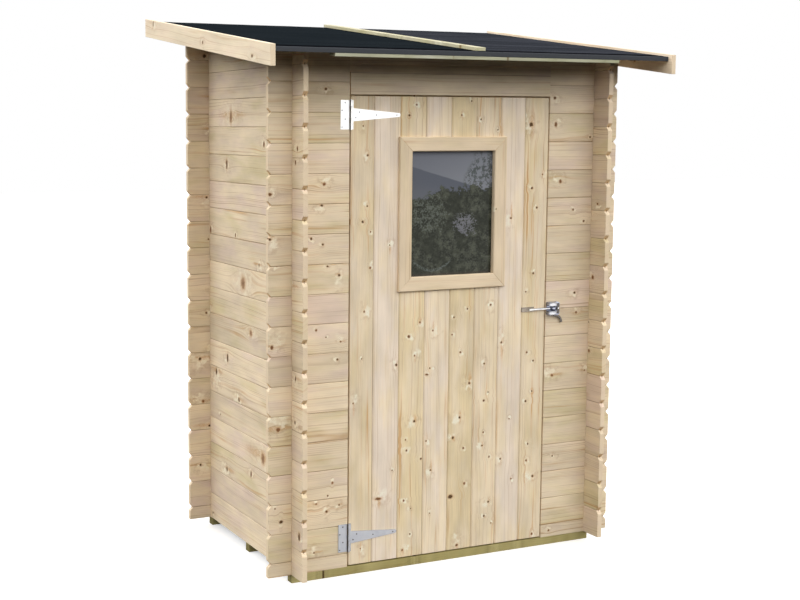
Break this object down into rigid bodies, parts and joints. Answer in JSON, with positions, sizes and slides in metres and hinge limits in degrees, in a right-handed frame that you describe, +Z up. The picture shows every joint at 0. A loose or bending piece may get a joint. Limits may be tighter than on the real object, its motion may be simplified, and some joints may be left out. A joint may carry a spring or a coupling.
{
  "type": "garden shed",
  "caption": "Small garden shed of interlocking horizontal boards with a single-slope felt roof and a boarded door with a window that opens outward.",
  "frame": {"origin": "on the ground, under the middle of the walls and the roof", "axes": "+X to the right along the front as seen from outside, +Y from the front to the rear, so the door faces -Y, +Z up"},
  "size_m": [1.79, 1.352, 2.2336],
  "materials": {
    "pine_boards": "sawn and planed pine boards, untreated, with knots",
    "pine_trim": "planed pine trim, untreated, pale",
    "treated_pine": "pressure-treated pine, greenish",
    "roofing_felt": "bitumen roofing felt with a fine mineral surface, charcoal",
    "zinc_plate": "zinc-plated steel, bright",
    "window_glass": "clear single glazing"
  },
  "bodies": {
    "shed": {"bearer_front": "treated_pine", "bearer_middle": "treated_pine", "bearer_rear": "treated_pine", "floor_boards": "pine_boards", "side_wall_left": "pine_boards", "side_wall_right": "pine_boards", "rear_wall": "pine_boards", "front_wall_left": "pine_boards", "front_wall_right": "pine_boards", "door_header": "pine_boards", "jamb_left": "pine_boards", "jamb_right": "pine_boards", "head_rail": "pine_boards", "roof_deck_left": "pine_boards", "roof_deck_right": "pine_boards", "roof_felt_left": "roofing_felt", "roof_felt_right": "roofing_felt", "bargeboard_left": "pine_trim", "bargeboard_right": "pine_trim", "cover_batten": "treated_pine", "eaves_batten_front": "treated_pine", "eaves_batten_rear": "treated_pine", "hinge_leaf_top": "zinc_plate", "hinge_leaf_bottom": "zinc_plate", "latch_catch": "zinc_plate", "latch_lever": "zinc_plate"},
    "door": {"door_boards": "pine_boards", "door_ledge_top": "pine_boards", "door_ledge_middle": "pine_boards", "door_ledge_bottom": "pine_boards", "door_brace": "pine_boards", "window_trim_outside": "pine_trim", "window_trim_inside": "pine_trim", "window_sash": "pine_trim", "window_glass": "window_glass", "hinge_strap_top": "zinc_plate", "hinge_strap_bottom": "zinc_plate", "latch_bar": "zinc_plate"}
  },
  "joints": [
    {"name": "door_hinge", "type": "hinge", "parent": "shed", "child": "door", "pos_m": [-0.455, -0.4415, 0.978], "axis": [0, 0, -1], "range_deg": [0, 150]}
  ]
}
